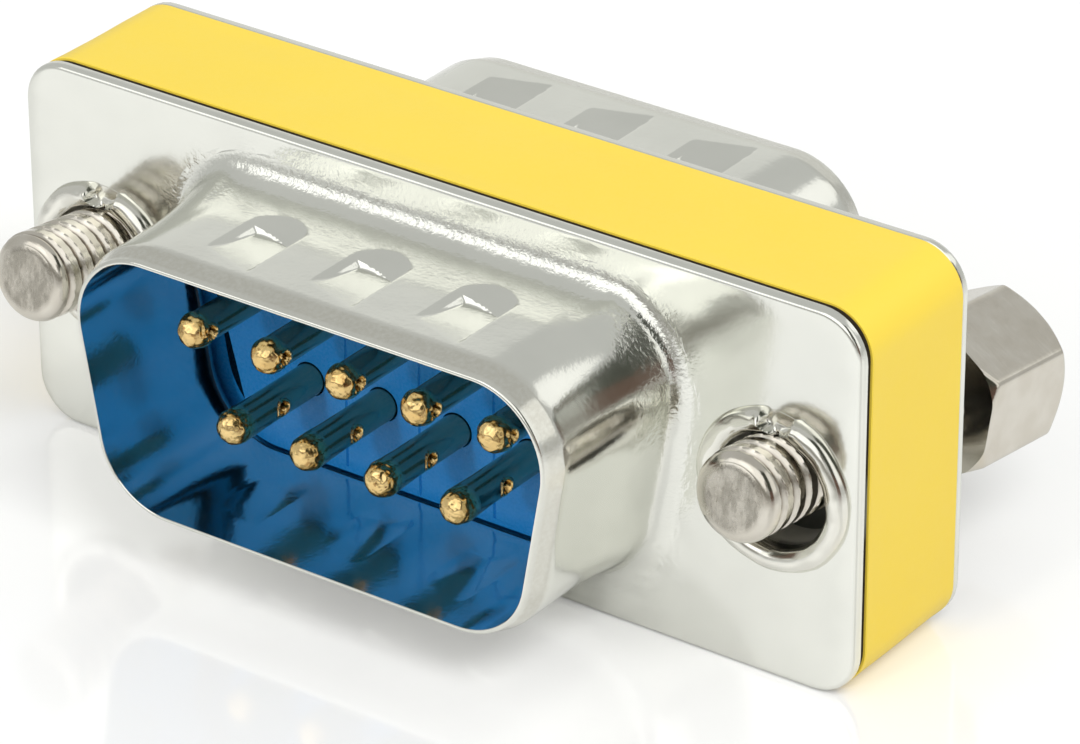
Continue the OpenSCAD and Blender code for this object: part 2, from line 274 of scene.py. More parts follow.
def screw_metal():
    """Turned and plated, with painted shade darkening the thread's grooves; the cut off tip is duller and
    scratched.
    """
    m, t, p = material("screw_nickel", metal=True)
    o = coords(t)
    worn_and_lit = attribute(t, "worn_and_lit")
    scratch = noise_of(t, o, 0.35, 3.0, 0.7, stretch=(1.0, 1.0, 0.35))
    colour = clouded(t, o, 0.9, 3.0, 0.35, (0.70, 0.665, 0.595), (0.64, 0.60, 0.525))
    # painted shade: the thread's grooves are painted a dark brown
    colour = mix_colour(t, attribute(t, "drawn"), colour, (0.17, 0.125, 0.09))
    dull = times(t, worn_and_lit, remap(t, scratch, 0.40, 0.58, 0.35, 1.0))
    t.links.new(mix_colour(t, dull, colour, (0.40, 0.375, 0.325)), p.inputs["Base Color"])
    fine = noise_of(t, o, 0.05, 2.0, 0.6)
    turned = noise_of(t, o, 0.22, 2.0, 0.6, stretch=(0.25, 3.0, 0.25))
    rough = math_of(t, "MULTIPLY_ADD", worn_and_lit, 0.14, remap(t, fine, 0.3, 0.7, 0.11, 0.20))
    t.links.new(rough, p.inputs["Roughness"])
    b = bump(t, turned, 0.003)
    b = bump(t, fine, 0.0012, after=b)
    b = bump(t, times(t, scratch, worn_and_lit), 0.05, after=b)
    t.links.new(b, p.inputs["Normal"])
    return m


def gold_metal():
    """Gold plate, lumpy and spotted on the tip; painted shade darkens the shank and blackens the pit."""
    m, t, p = material("contact_gold", metal=True)
    o = coords(t)
    tip = attribute(t, "worn_and_lit")
    spots = noise_of(t, o, 0.22, 2.0, 0.6)
    colour = clouded(t, o, 0.6, 2.0, 0.35, (0.90, 0.66, 0.30), (0.80, 0.55, 0.22))
    # painted shade: away from the tip and the pit's rim, the shank gets a darker gold
    colour = mix_colour(t, tip, (0.52, 0.41, 0.26), colour)
    colour = mix_colour(t, times(t, tip, remap(t, spots, 0.58, 0.68, 0.0, 0.8)), colour, (0.36, 0.19, 0.06))
    # painted shade: near black inside the pit
    colour = mix_colour(t, attribute(t, "drawn"), colour, (0.02, 0.014, 0.008))
    t.links.new(colour, p.inputs["Base Color"])
    fine = noise_of(t, o, 0.06, 2.0)
    t.links.new(remap(t, fine, 0.3, 0.7, 0.12, 0.24), p.inputs["Roughness"])
    b = bump(t, times(t, noise_of(t, o, 0.26, 1.0, 0.5), tip), 0.075)
    t.links.new(bump(t, fine, 0.0015, after=b), p.inputs["Normal"])
    return m


def blue_plastic():
    """Moulded blue, with painted shade that makes it nearly black down in the gap beside the plug."""
    m, t, p = material("blue_insulator")
    o = coords(t)
    colour = clouded(t, o, 1.6, 2.0, 0.3, (0.014, 0.24, 0.66), (0.016, 0.26, 0.70))
    # painted shade in the gap round the plug
    t.links.new(mix_colour(t, attribute(t, "drawn"), colour, (0.004, 0.035, 0.085)), p.inputs["Base Color"])
    fine = noise_of(t, o, 0.12, 2.0)
    t.links.new(remap(t, fine, 0.3, 0.7, 0.22, 0.34), p.inputs["Roughness"])
    p.inputs["Specular IOR Level"].default_value = 0.3
    t.links.new(bump(t, fine, 0.002), p.inputs["Normal"])
    return m


def black_plastic():
    """Matt black, paler on the walls of the two screw chambers, which show through the eyelets."""
    m, t, p = material("spacer_black")
    o = coords(t)
    axis = node(t, "ShaderNodeSeparateXYZ")
    t.links.new(o, axis.inputs[0])
    dx = math_of(t, "SUBTRACT", math_of(t, "ABSOLUTE", axis.outputs["X"]), SCREW_X * MM)
    dz = math_of(t, "SUBTRACT", axis.outputs["Z"], MID * MM)
    away = math_of(t, "SQRT", math_of(t, "ADD", times(t, dx, dx), times(t, dz, dz)))
    pale = remap(t, away, 0.0028, 0.0030, 1.0, 0.0)
    dark = mix_colour(t, noise_of(t, o, 0.8, 2.0), (0.050, 0.040, 0.028), (0.070, 0.052, 0.034))
    t.links.new(mix_colour(t, pale, dark, (0.30, 0.31, 0.27)), p.inputs["Base Color"])
    fine = noise_of(t, o, 0.1, 2.0)
    t.links.new(remap(t, fine, 0.3, 0.7, 0.45, 0.6), p.inputs["Roughness"])
    t.links.new(bump(t, fine, 0.003), p.inputs["Normal"])
    return m


def label_film():
    """Yellow film with a fine satin surface that waves a little."""
    m, t, p = material("label_yellow")
    o = coords(t)
    colour = clouded(t, o, 5.0, 2.0, 0.3, (0.94, 0.70, 0.080), (0.93, 0.685, 0.072))
    t.links.new(colour, p.inputs["Base Color"])
    fine = noise_of(t, o, 0.15, 3.0)
    t.links.new(remap(t, fine, 0.3, 0.7, 0.34, 0.46), p.inputs["Roughness"])
    p.inputs["Specular IOR Level"].default_value = 0.35
    b = bump(t, noise_of(t, o, 3.5, 1.0), 0.02)
    t.links.new(bump(t, fine, 0.0012, after=b), p.inputs["Normal"])
    return m


SHELL, LIP, SCREW, GOLD = shell_metal(), eyelet_metal(), screw_metal(), gold_metal()
BLUE, BLACK, LABEL = blue_plastic(), black_plastic(), label_film()


# ---------------------------------------------------------------- outlines

TAN, SEC = math.tan(math.radians(10)), 1 / math.cos(math.radians(10))
D_R, D_H, D_W = 2.4, 8.3, 16.92
TOP_X = D_W / 2 + D_R * (TAN + SEC - 1)
# Corners of an outline: centre, first direction and sweep in degrees, going round from the upper right.
D_CORNERS = [
    ((TOP_X - D_R * (TAN + SEC), D_H / 2 - D_R), -10, 100),
    ((-(TOP_X - D_R * (TAN + SEC)), D_H / 2 - D_R), 90, 100),
    ((-(TOP_X - (D_H - D_R) * TAN - D_R * SEC), -(D_H / 2 - D_R)), 190, 80),
    ((TOP_X - (D_H - D_R) * TAN - D_R * SEC, -(D_H / 2 - D_R)), 270, 80),
]
FX, FZ = FLANGE_W / 2 - FLANGE_R, FLANGE_H / 2 - FLANGE_R
F_CORNERS = [((FX, FZ), 0, 90), ((-FX, FZ), 90, 90), ((-FX, -FZ), 180, 90), ((FX, -FZ), 270, 90)]
DIMPLE_X = (-3.85, 0.0, 3.85)


def stations(corners, arc_steps, side_points):
    """Points round an outline, each as a centre and a direction: any offset is centre + r * direction."""
    out = []
    for k, (c, start, sweep) in enumerate(corners):
        for i in range(arc_steps + 1):
            a = math.radians(start + sweep * i / arc_steps)
            out.append((c[0], c[1], math.cos(a), math.sin(a)))
        end = math.radians(start + sweep)
        n = corners[(k + 1) % len(corners)][0]
        for s in side_points(k, c, n):
            out.append((c[0] + (n[0] - c[0]) * s, c[1] + (n[1] - c[1]) * s, math.cos(end), math.sin(end)))
    return out


def evenly(long_steps, short_steps):
    """Side points in equal steps, for the two long and the two short sides."""
    def side_points(k, c, n):
        steps = short_steps if k % 2 else long_steps
        return [i / steps for i in range(1, steps)]
    return side_points


def d_side(k, c, n):
    """Side points of the shell's D: even on the slanted sides, and close together across each dimple."""
    length = math.dist(c, n)
    if k in (1, 3):
        return [i / 14 for i in range(1, 14)]
    lo = min(c[0], n[0])
    xs = {round(i * 0.3, 4) for i in range(1, int(length / 0.3))}
    xs = {x for x in xs if all(abs(x + lo - d) > 1.18 for d in DIMPLE_X)}
    xs |= {round(d - lo + i * 0.0525, 4) for d in DIMPLE_X for i in range(-22, 23)}
    s = [x / length for x in sorted(xs) if 0.03 < x < length - 0.03]
    return s if n[0] > c[0] else [1 - v for v in reversed(s)]


def offset(st, r):
    """A loop of points at the distance r from the centres of an outline's stations."""
    return [Vector((c + r * n, d + r * m)) for c, d, n, m in st]


def circle(x, y, r, steps):
    """A loop of points round a place."""
    turns = [2 * math.pi * i / steps for i in range(steps)]
    return [Vector((x + r * math.cos(a), y + r * math.sin(a))) for a in turns]


def in_loop(x, y, loop):
    """Whether a place lies inside a closed loop of points."""
    inside = False
    j = len(loop) - 1
    for i in range(len(loop)):
        xi, yi, xj, yj = loop[i].x, loop[i].y, loop[j].x, loop[j].y
        if (yi > y) != (yj > y) and x < (xj - xi) * (y - yi) / (yj - yi) + xi:
            inside = not inside
        j = i
    return inside


def sheet_between(outer, holes, extra=(), lines=()):
    """Points and triangles of a flat area with holes. Extra points lie in it, and lines are pairs of points
    that become edges."""
    pts, edges = [], []
    for loop in [outer] + holes:
        a = len(pts)
        pts += loop
        edges += [(a + i, a + (i + 1) % len(loop)) for i in range(len(loop))]
    pts += extra
    for a, b in lines:
        edges.append((len(pts), len(pts) + 1))
        pts += [Vector(a), Vector(b)]
    verts, _, tris, *_ = geometry.delaunay_2d_cdt(pts, edges, [], 0, 1e-7)
    keep = []
    for f in tris:
        x, y = sum(verts[i].x for i in f) / 3, sum(verts[i].y for i in f) / 3
        if in_loop(x, y, outer) and not any(in_loop(x, y, h) for h in holes):
            keep.append(tuple(f))
    return verts, keep


D_STATIONS = stations(D_CORNERS, 20, d_side)
F_STATIONS = stations(F_CORNERS, 10, evenly(24, 10))
ROOT_END = D_R + ROOT_GROW


# ---------------------------------------------------------------- shells

def dimple_depth(x, h, soften=1.0):
    """How far a dimple presses the long side in, at x and h above the flange: a gentle panel from an arched
    edge, a short steep step, a floor that rises to the mouth, and sloped sides, blended where they meet."""
    for d in DIMPLE_X:
        u = x - d + 0.05
        if abs(u) > 1.15 or h < 1.15 or h > 4.9:
            continue
        top = 1.33 + 0.60 * u * u
        foot = 2.26 + 0.10 * (u + 0.6) ** 2
        before = 0.08 + 0.15 * (u + 0.6)
        back = before * (h - top) / (foot - top) if h < foot else before + 1.6 * (h - foot)
        end = 4.25 + 0.32 * (u + 1)
        rise = (0.28 + 0.03 * u) * (end - h) / (end - foot)
        left = (0.30 * (1.0 + u) if u < -0.75 else 0.075 + (u + 0.75)) / soften
        right = 1.25 * (1.0 - u) / soften
        blend = 0.035 * soften
        crease = 0.010 if soften == 1.0 else blend
        return max(0.0, soft_min(soft_min(back, rise, crease), soft_min(left, right, blend), blend))
    return 0.0


def corner_factor(cy, nx, ny):
    """How much of a corner a station is: 0 on the long sides, about 0.5 elsewhere, 1 at the upper corners."""
    angle = math.degrees(math.atan2(ny, nx))
    if nx < 0:
        angle = 180 - angle
    upper = smooth(-10, 25, angle) * smooth(90, 62, angle) if cy > 0 else 0.0
    return round((0.5 + 0.5 * upper) * (1 - smooth(0.94, 0.999, abs(ny))), 3)


def root_curve(c):
    """The drawn root for corner factor c: an elliptic arc that runs on into a slight flare of the wall."""
    grow, top, deep = 0.032 - 0.004 * c, 2.3 + 1.9 * c, 0.82 - 0.20 * c
    wide, h, a = ROOT_R, deep, 0.0
    for _ in range(40):
        a = math.atan(deep / wide * 2 * grow * (top - h))
        wide = (ROOT_GROW - SHEET - grow * (top - h) ** 2) / math.cos(a)
        h = deep * (1 - math.sin(a))
    return grow, top, wide, deep, h, a


def shroud_rows():
    """Rows of the shroud's surface: root and wall, out to the lip, over the mouth, and back inside."""
    rows = [("root", i / 18) for i in range(19)]
    h = 1.05
    while h < LIP_FROM:
        rows.append(("wall", h))
        h += 0.02 if 2.0 < h < 2.75 else 0.055 if 1.1 < h < 4.95 else 0.15
    rows += [("lip", LIP_FROM + 0.07 * i) for i in range(1, 10)]
    rows += [("edge", math.radians(15 * i)) for i in range(7)]
    rows += [("rim", 0.02), ("inside", REACH - 0.02)]
    h = REACH - 0.1
    while h > ROOT_R + 0.1:
        rows.append(("inside", h))
        h -= 0.09 if 1.1 < h < 4.95 else 0.25
    return rows + [("back", math.radians(180 + 90 * i / 8)) for i in range(9)]


def section(part, v, curve, x, on_long_side):
    """One point of the shroud's section: its distance out of the D, its height, how drawn and how worn."""
    grow, top, wide, deep, join, start = curve
    if part == "root":
        a = math.pi / 2 - (math.pi / 2 - start) * v
        return ROOT_GROW - wide * math.cos(a), deep - deep * math.sin(a), 1.0, 0.0
    if part in ("wall", "lip"):
        h = join + (v - 1.0) * (LIP_FROM - join) / 4.1 if part == "wall" else v
        t = SHEET + (grow * (top - h) ** 2 if h < top else 0.0)
        bend = max(0.0, h - LIP_FROM)
        t -= 0.30 * (bend - 0.1 if bend > 0.2 else bend * bend / 0.4)
        if on_long_side and part == "wall":
            t -= dimple_depth(x, h)
        return t, h, max(0.12, 1 - smooth(0.5, 2.4, h)), smooth(5.05, 5.3, h)
    if part == "edge":
        return 0.04 + 0.12 * math.cos(v), REACH - 0.13 + 0.13 * math.sin(v), 0.1, 0.35
    if part == "rim":
        return v, REACH, 0.1, 0.0
    if part == "back":
        return ROOT_GROW + ROOT_GROW * math.cos(v), ROOT_R + ROOT_GROW * math.sin(v), 0.1, 0.0
    boss = 0.45 * dimple_depth(x, v, 3.5) if on_long_side else 0.0
    return -boss, v, 0.1, 0.0


def in_screw_hole(x, y, margin=0.0):
    return any(math.hypot(x - side * SCREW_X, y) < HOLE_R + margin for side in (-1, 1))


def flange_sheet(inset):
    """Flat face of a flange with its D opening and two screw holes, as points and triangles."""
    inner, outer = offset(D_STATIONS, ROOT_END), offset(F_STATIONS, FLANGE_R - inset)
    half_w, half_h = FLANGE_W / 2 - inset - 0.35, FLANGE_H / 2 - inset - 0.35
    holes = [circle(side * SCREW_X, 0, HOLE_R, HOLE_STEPS) for side in (-1, 1)]

    def clear(x, y):
        if in_screw_hole(x, y, 0.25):
            return False
        if min(math.dist((x, y), p) for p in inner) < 0.95 or in_loop(x, y, inner):
            return False
        return abs(x) < half_w and abs(y) < half_h and in_loop(x, y, outer)

    # a loose grid, and four rings round the D, so that the shading stays even
    grid = [(i * 0.6 + 0.3 * (j % 2), j * 0.6) for i in range(-25, 26) for j in range(-10, 11)]
    extra = [Vector(p) for p in grid if clear(*p)]
    rings = stations(D_CORNERS, 20, evenly(40, 12))
    for off in (0.12, 0.28, 0.48, 0.72):
        extra += offset(rings, ROOT_END + off)
    points, tris = sheet_between(outer, [inner] + holes, extra)
    # slivers along a hole's edge can lie outside its loop and still inside its circle
    middles = [(sum(points[i].x for i in f) / 3, sum(points[i].y for i in f) / 3) for f in tris]
    return points, [f for f, middle in zip(tris, middles) if not in_screw_hole(*middle)]


def shell(name, cad_node, place):
    """A stamped shell: the shroud swept round the D, and its flange with a rounded rim and two screw holes."""
    verts, faces, drawn, worn_and_lit = [], [], [], []
    curves = [root_curve(corner_factor(cy, nx, ny)) for _, cy, nx, ny in D_STATIONS]
    rows = shroud_rows()
    for part, v in rows:
        for (cx, cy, nx, ny), curve in zip(D_STATIONS, curves):
            t, h, shade, wear = section(part, v, curve, cx, abs(ny) > 0.999)
            verts.append((cx + (D_R + t) * nx, cy + (D_R + t) * ny, h))
            drawn.append(shade)
            worn_and_lit.append(wear)
    strips(faces, 0, len(rows), len(D_STATIONS))
    # flange: front face, which is drawn close to the root, and back face
    foot = [(c + ROOT_END * a, d + ROOT_END * b) for c, d, a, b in D_STATIONS[::6]]
    for h, inset in ((0.0, RIM_R), (-SHEET, 0.03)):
        points, tris = flange_sheet(inset)
        base = len(verts)
        for p in points:
            near = min(math.dist(p, f) for f in foot)
            verts.append((p.x, p.y, h))
            drawn.append(0.85 * (1 - smooth(0.05, 0.85, near)) if h == 0.0 else 0.0)
        faces += [tuple(base + i for i in tri) for tri in tris]
    # its rounded rim, and the walls of the screw holes
    turns = [math.radians(15 * i) for i in range(7)]
    rim = [(RIM_R - RIM_R * math.sin(a), -RIM_R + RIM_R * math.cos(a)) for a in turns]
    rim += [(0.0, -SHEET + 0.03), (0.03, -SHEET)]
    base = len(verts)
    for inset, h in rim:
        for cx, cy, nx, ny in F_STATIONS:
            verts.append((cx + (FLANGE_R - inset) * nx, cy + (FLANGE_R - inset) * ny, h))
            drawn.append(0.05)
    strips(faces, base, len(rim), len(F_STATIONS))
    for side in (-1, 1):
        base = len(verts)
        for h in (0.0, -SHEET):
            for i in range(HOLE_STEPS):
                a = 2 * math.pi * i / HOLE_STEPS
                verts.append((side * SCREW_X + HOLE_R * math.cos(a), HOLE_R * math.sin(a), h))
                drawn.append(0.0)
        strips(faces, base, 2, HOLE_STEPS)
    worn_and_lit += [0.0] * (len(verts) - len(worn_and_lit))
    piece(name, verts, faces, SHELL, "connector", (cad_node,), place, 30, drawn, worn_and_lit)


shell("front_shell_formed", "front_shell", front)
shell("rear_shell_formed", "rear_shell", rear)


# ---------------------------------------------------------------- eyelets

def torn_lip(r, h, a, turn, seed):
    """Where a point of the rolled lip ends up: uneven and hammered, torn open at the angle turn, with the
    torn ends curled up."""
    out = (r - BARREL_R) / LIP_W
    ring = Vector((math.cos(a), math.sin(a), 0))
    rr = r + 0.06 * noise.noise(ring * 2 + Vector((0, 0, seed))) * out
    hh = h * (1 + 0.16 * noise.noise(ring * 3 + Vector((0, 0, seed + 9))))
    # the hammered ridges are strongest on the side before the tear
    ridge = noise.noise(Vector((math.cos(a) * 5, math.sin(a) * 5, r * 3 + seed)))
    strength = 0.4 + 0.6 * smooth(-0.3, 0.6, math.cos(a - math.radians(turn + 60)))
    hh += 0.035 * ridge * math.sin(math.pi * out) * strength
    off = (a - math.radians(turn) + math.pi) % (2 * math.pi) - math.pi
    near = abs(off) * r
    width = 0.44 * smooth(0.05, 0.7, out) + 0.02
    gap = smooth(width, width + 0.10, near)
    curl = 1 + (0.55 if off > 0 else 0.25) * math.exp(-((near - width - 0.13) / 0.12) ** 2) * out
    left_over = 0.25 * (1 - smooth(0.2, 0.5, out))
    if hh > 0.015:
        hh = 0.015 + (hh - 0.015) * (gap + (1 - gap) * left_over) * curl
    if off > 0:
        rr -= 0.22 * math.exp(-((near - width - 0.05) / 0.13) ** 2) * out
    return rr, hh


def eyelet(name, cad_node, side, place, turn, seed):
    """Barrel with a rolled lip that has torn open at the top."""
    steps = 288
    # radius, height, whether it belongs to the lip, and how matt it is
    rows = [(BARREL_R, -EYELET_DEPTH, False, 1.0), (BARREL_R, -0.9, False, 1.0),
            (BARREL_R, -0.45, False, 1.0), (BARREL_R, -0.12, False, 0.0)]
    for i in range(17):
        a = math.radians(180 - 180 * i / 16)
        rows.append((LIP_MID + LIP_W / 2 * math.cos(a), LIP_W / 2 * math.sin(a), True, 0.0))
    rows += [(EYELET_R, 0.0, False, 0.0), (EYELET_R, -EYELET_DEPTH, False, 1.0),
             (BARREL_R, -EYELET_DEPTH, False, 1.0)]
    verts, faces, worn_and_lit = [], [], []
    for r, h, on_lip, matt in rows:
        for i in range(steps):
            a = 2 * math.pi * i / steps
            rr, hh = torn_lip(r, h, a, turn, seed) if on_lip else (r, h)
            verts.append((side * SCREW_X + rr * math.cos(a), rr * math.sin(a), hh))
            worn_and_lit.append(matt)
    strips(faces, 0, len(rows), steps)
    piece(name, verts, faces, LIP, "connector", (cad_node,), place, 50, worn_and_lit=worn_and_lit)


eyelet("front_left_eyelet_rolled", "front_left_eyelet", -1, front, 85, 1.3)
eyelet("front_right_eyelet_rolled", "front_right_eyelet", 1, front, 85, 4.1)
eyelet("rear_left_eyelet_rolled", "rear_left_eyelet", -1, rear, -85, 7.7)
eyelet("rear_right_eyelet_rolled", "rear_right_eyelet", 1, rear, -85, 2.9)


# ---------------------------------------------------------------- jackscrews

def thread(a, s, phase):
    """Depth of the thread groove, 0 to 1: wide crests and narrow rounded grooves."""
    u = (s / PITCH - a / (2 * math.pi) + phase) % 1.0
    return max(0.0, 1 - abs(u - 0.5) / 0.25) ** 0.9


def hex_radius(a):
    """Radius of a hexagon with slightly rounded edges."""
    total = 0.0
    for k in range(6):
        c = math.cos(a + math.radians(HEX_TURN) - math.radians(30 + 60 * k))
        if c > 0.3:
            total += (c / (HEX_AF / 2)) ** 70
    return total ** (-1 / 70)


def jackscrew(name, cad_node, side, drawn_back, body, phase):
    """A screw along its own axis s: tip, thread, neck with the ring's groove, shank, hex and threaded hole."""
    face = HEX_STOP + TRAVEL * drawn_back
    tip = face - SHANK
    neck = face - HEX_STOP - TRAVEL / 2
    end = face + HEX_L
    steps = 192

    def fixed(r):
        return lambda a, s: r

    def threaded(a, s):
        d = s - tip
        cut = THREAD_DEEP * thread(a, s, phase) * smooth(0.0, 0.35, neck - 0.3 - s) * smooth(0.2, 0.5, d)
        nose = 0.95 + (THREAD_R - 0.95) * math.sqrt(max(0.0, 1 - (1 - min(1.0, d / 0.42)) ** 2))
        return nose - cut

    def hexed(a, s):
        u = s - face
        r = soft_min(hex_radius(a), CORNER_R - HEX_FRONT + u, 0.05)
        behind = CORNER_R - (CORNER_R - HEX_AF / 2) * (u - HEX_L + HEX_CHAMFER) / HEX_CHAMFER
        return soft_min(r, behind, 0.05)

    def tapped(a, s):
        return max(1.45 - (end - s), SOCKET_R + THREAD_DEEP * (1 - thread(a, s, phase)))

    rows = [(tip, fixed(r)) for r in (0.0001, 0.3, 0.6, 0.86, 0.92)]
    s = tip + 0.02
    while s < neck - 0.32:
        rows.append((s, threaded))
        s += 0.028
    rows += [(s, fixed(r)) for s, r in (
        (neck - 0.3, THREAD_R - 0.02), (neck - 0.3, NECK_R), (neck + 0.3, NECK_R),
        (neck + 0.3, THREAD_R - 0.03), (neck + 0.34, THREAD_R), (face - 0.08, THREAD_R),
        (face, THREAD_R + 0.06), (face, 1.8), (face, 2.2))]
    along = [0.0, 0.02, 0.05, 0.09, 0.13, 0.18, 0.24, 0.3, 0.4, 0.8, 1.6, 2.4, 3.2, 3.7]
    rows += [(face + u, hexed) for u in along + [HEX_L - 0.5 + 0.03 * i for i in range(17)]]
    rows += [(s, fixed(r)) for s, r in (
        (end - 0.005, HEX_AF / 2 - 0.03), (end, 2.1), (end, 1.8), (end, 1.52), (end - 0.02, 1.47))]
    s = end - 0.05
    while s > end - 3.5:
        rows.append((s, tapped))
        s -= 0.045
    rows += [(end - 3.55, fixed(SOCKET_R)), (end - SOCKET_L, fixed(0.9)), (end - SOCKET_L, fixed(0.0001))]
    ca, sa = math.cos(DROOP), math.sin(DROOP)
    verts, faces, worn_and_lit, groove_shade = [], [], [], []
    for s, radius in rows:
        grooved = radius is threaded and s > tip + 0.35
        for i in range(steps):
            a = 2 * math.pi * i / steps
            r = radius(a, s)
            x, y = r * math.cos(a), r * math.sin(a)
            # own Z to the rear and down, own Y down
            verts.append((side * SCREW_X + x, s * ca - y * sa, MID - s * sa - y * ca))
            worn_and_lit.append(1.0 if s < tip + 0.01 else 0.0)
            # painted shade for the thread's grooves, strongest at their bottoms
            groove_shade.append(smooth(0.35, 0.85, thread(a, s, phase)) if grooved else 0.0)
    strips(faces, 0, len(rows), steps)
    piece(name, verts, faces, SCREW, body, (cad_node,), None, 38, groove_shade, worn_and_lit)


jackscrew("left_jackscrew_threaded", "left_jackscrew", -1, 0.0, "left_screw", 0.15)
jackscrew("right_jackscrew_threaded", "right_jackscrew", 1, 0.79, "right_screw", 0.55)


# ---------------------------------------------------------------- contacts

def pin_place(n):
    """Place of contact n in a plug: five in the wide side's row and four in the other."""
    return ((n - 3) * PIN_PITCH, ROW) if n <= 5 else ((n - 7.5) * PIN_PITCH, -ROW)


def contact(n):
    """Both pins of a contact, each with a small pit in its side, and the bar between them."""
    x, y = pin_place(n)
    wide_row = n <= 5
    row = 1 if wide_row else -1
    pit_h = 3.95 if wide_row else 2.35
    tip_h = 4.0
    verts, faces, worn_and_lit, drawn = [], [], [], []
    steps = 72
    rows = [(0.50, -HALF), (PIN_R, -HALF + 0.03), (PIN_R, -0.2), (PIN_R, 1.0)]
    rows += [(PIN_R, h) for h in (pit_h - 0.36 + 0.04 * i for i in range(19)) if h < tip_h]
    if not wide_row:
        rows += [(PIN_R, 3.0), (0.545, 3.4), (0.56, 3.7)]
    for i in range(18):
        a = math.radians(90 * i / 18)
        rows.append((TIP_R * math.cos(a) ** 0.85, tip_h + 0.6 * math.sin(a)))
    rows.append((0.0003, tip_h + 0.6))
    for place in (front, rear):
        base = len(verts)
        for r, h in rows:
            for i in range(steps):
                a = 2 * math.pi * i / steps
                side = (a + math.pi) % (2 * math.pi) - math.pi
                away = math.hypot(side * PIN_R, h - pit_h)
                hole = 0.0 if h > 4.2 else 1 - smooth(0.15, 0.23, away)
                rr = r - 0.34 * hole + (0.035 * math.exp(-((away - 0.27) / 0.05) ** 2) if h < 4.2 else 0.0)
                lump = noise.noise(Vector((x + math.cos(a) * 2.2, row + math.sin(a) * 2.2, h * 4)))
                rr += 0.028 * lump * smooth(3.7, 4.1, h) * smooth(0.05, 0.3, r)
                verts.append(place(x + rr * math.cos(a), y + rr * math.sin(a), h))
                # the tip and the pit's rim stay out of the painted shade on the shank
                worn_and_lit.append(max(smooth(3.75, 4.05, h), 1 - smooth(0.28, 0.34, away)))
                # painted shade inside the pit
                drawn.append(hole)
        strips(faces, base, len(rows), steps)
        faces.append(tuple(range(base, base + steps)))
    base = len(verts)
    for dz in (-1.93, 1.93):
        for dx, dy in ((-0.25, -0.4), (0.25, -0.4), (0.25, 0.4), (-0.25, 0.4)):
            verts.append((x + dx, dy, MID + dz))
    worn_and_lit += [0.0] * 8
    drawn += [0.0] * 8
    faces += [(base, base + 1, base + 2, base + 3), (base + 4, base + 5, base + 6, base + 7)]
    for i in range(4):
        faces.append((base + i, base + (i + 1) % 4, base + 4 + (i + 1) % 4, base + 4 + i))
    piece("contact_%d_pins" % n, verts, faces, GOLD, "connector", ("contact_%d" % n,), None, 40,
          drawn, worn_and_lit, merge=False)


for number in range(1, 10):
    contact(number)


# ---------------------------------------------------------------- insulators

def plug_outline():
    """The insulator's raised plug: it leaves a narrow gap beside the shell's slanted sides."""
    (tx, ty), (bx, by) = D_CORNERS[1][0], D_CORNERS[2][0]
    left = [(0.0, D_H / 2 + 0.04)]
    for i in range(13):
        a = math.radians(90 + 100 * i / 12)
        r = D_R + 0.04 - 0.62 * smooth(15, 80, math.degrees(a) - 90)
        left.append((tx + r * math.cos(a), ty + r * math.sin(a)))
    for i in range(6):
        a = math.radians(246 + 24 * i / 5)
        left.append((bx + (D_R + 0.04) * math.cos(a), by + (D_R + 0.04) * math.sin(a)))
    left.append((0.0, -D_H / 2 - 0.04))
    return [Vector(p) for p in left + [(-x, y) for x, y in reversed(left[1:-1])]]


def insulator(name, cad_node, place):
    """A plug with nine bores in the shroud, a gap round it, and a base behind the flange."""
    shelf, deep, back = -0.30, -1.5, -2.44
    plug = plug_outline()
    moat = offset(stations(D_CORNERS, 16, evenly(2, 2)), D_R + 0.08)
    base = offset(stations(D_CORNERS, 12, evenly(2, 2)), D_R + 0.9)
    bores = [circle(*pin_place(n), BORE_R, 40) for n in range(1, 10)]
    # shallow mould lines between the pins of the narrow side's row
    mark_x, mark_top, mark_foot = (-PIN_PITCH, 0.0, PIN_PITCH), -0.1, -4.0
    marks = [((x + dx, mark_top), (x + dx, mark_foot)) for x in mark_x for dx in (0, -0.05, 0.05)]
    sunk = {(round(x, 3), y) for x in mark_x for y in (mark_top, mark_foot)}
    verts, faces, shade = [], [], []

    def sheet(h, outer, holes, lines=()):
        points, tris = sheet_between(outer, holes, lines=lines)
        a = len(verts)
        for v in points:
            dip = 0.06 if lines and (round(v.x, 3), round(v.y, 3)) in sunk else 0
            verts.append((v.x, v.y, h - dip))
            # the gap's floor, at the deep level, gets painted shade
            shade.append(1.0 if h == deep else 0.0)
        faces.extend(tuple(a + i for i in f) for f in tris)

    def wall(loop, top, bottom, dark=0.0):
        a = len(verts)
        verts.extend([(v.x, v.y, top) for v in loop] + [(v.x, v.y, bottom) for v in loop])
        shade.extend([dark] * 2 * len(loop))
        strips(faces, a, 2, len(loop))

    sheet(FLOOR_RISE, plug, bores, marks)
    # painted shade: the plug's side and the gap's outer wall are painted nearly black
    wall(plug, FLOOR_RISE, deep, 1.0)
    sheet(deep, moat, [plug])
    wall(moat, shelf, deep, 1.0)
    sheet(shelf, base, [moat])
    wall(base, shelf, back)
    sheet(back, base, bores)
    for bore in bores:
        wall(bore, FLOOR_RISE, back)
    piece(name, verts, faces, BLUE, "connector", (cad_node,), place, 25, shade, merge=False)


insulator("front_insulator_moulded", "front_insulator", front)
insulator("rear_insulator_moulded", "rear_insulator", rear)


# ---------------------------------------------------------------- label

